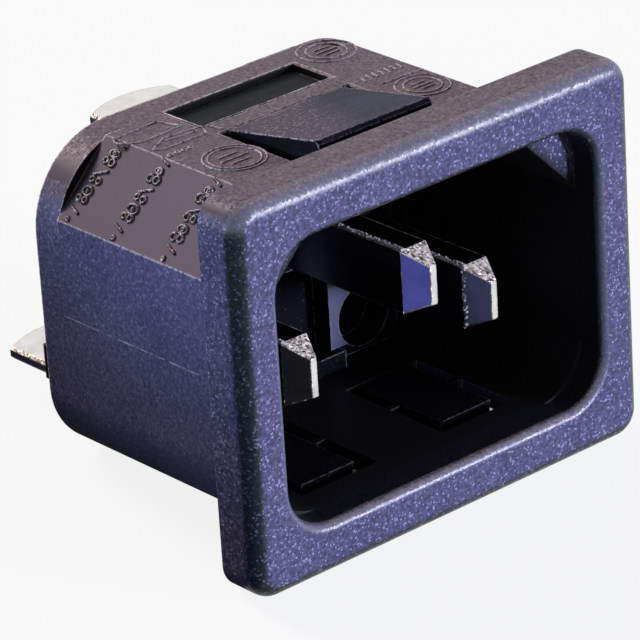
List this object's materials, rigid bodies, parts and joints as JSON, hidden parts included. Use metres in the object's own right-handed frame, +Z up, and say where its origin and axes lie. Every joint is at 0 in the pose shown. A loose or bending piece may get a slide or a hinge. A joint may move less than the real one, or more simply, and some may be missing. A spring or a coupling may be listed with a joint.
{
  "type": "panel mount iec inlet",
  "caption": "Snap-in power inlet with a rectangular bezel, a keyed socket with flat pins, sprung panel latches and push-on tabs at the rear.",
  "frame": {"origin": "centre of the panel cut-out, on the face of the bezel that seats on the panel", "axes": "+Y through the panel towards the tabs, +X to the right seen from the front, +Z up, towards the earth pin"},
  "size_m": [0.0302, 0.029, 0.024],
  "materials": {
    "housing_plastic": "fine spark-eroded texture, charcoal with a violet cast",
    "carrier_plastic": "smooth black moulding",
    "contact_metal": "bright nickel plate over brass"
  },
  "bodies": {
    "inlet": {"housing": "housing_plastic", "terminal_carrier": "carrier_plastic", "earth_contact": "contact_metal", "line_contact": "contact_metal", "neutral_contact": "contact_metal"},
    "upper_tongue": {"top_latch": "housing_plastic"},
    "left_tongue": {"left_lower_latch": "housing_plastic"},
    "right_tongue": {"right_lower_latch": "housing_plastic"}
  },
  "joints": [
    {"name": "top_latch_flex", "type": "hinge", "parent": "inlet", "child": "upper_tongue", "pos_m": [0, 0.01, 0.00995], "axis": [1, 0, 0], "range_deg": [0, 10], "stiffness_Nm_per_rad": 0.05},
    {"name": "left_latch_flex", "type": "hinge", "parent": "inlet", "child": "left_tongue", "pos_m": [-0.00545, 0.00925, -0.00995], "axis": [-1, 0, 0], "range_deg": [0, 10], "stiffness_Nm_per_rad": 0.05},
    {"name": "right_latch_flex", "type": "hinge", "parent": "inlet", "child": "right_tongue", "pos_m": [0.00545, 0.00925, -0.00995], "axis": [-1, 0, 0], "range_deg": [0, 10], "stiffness_Nm_per_rad": 0.05}
  ]
}
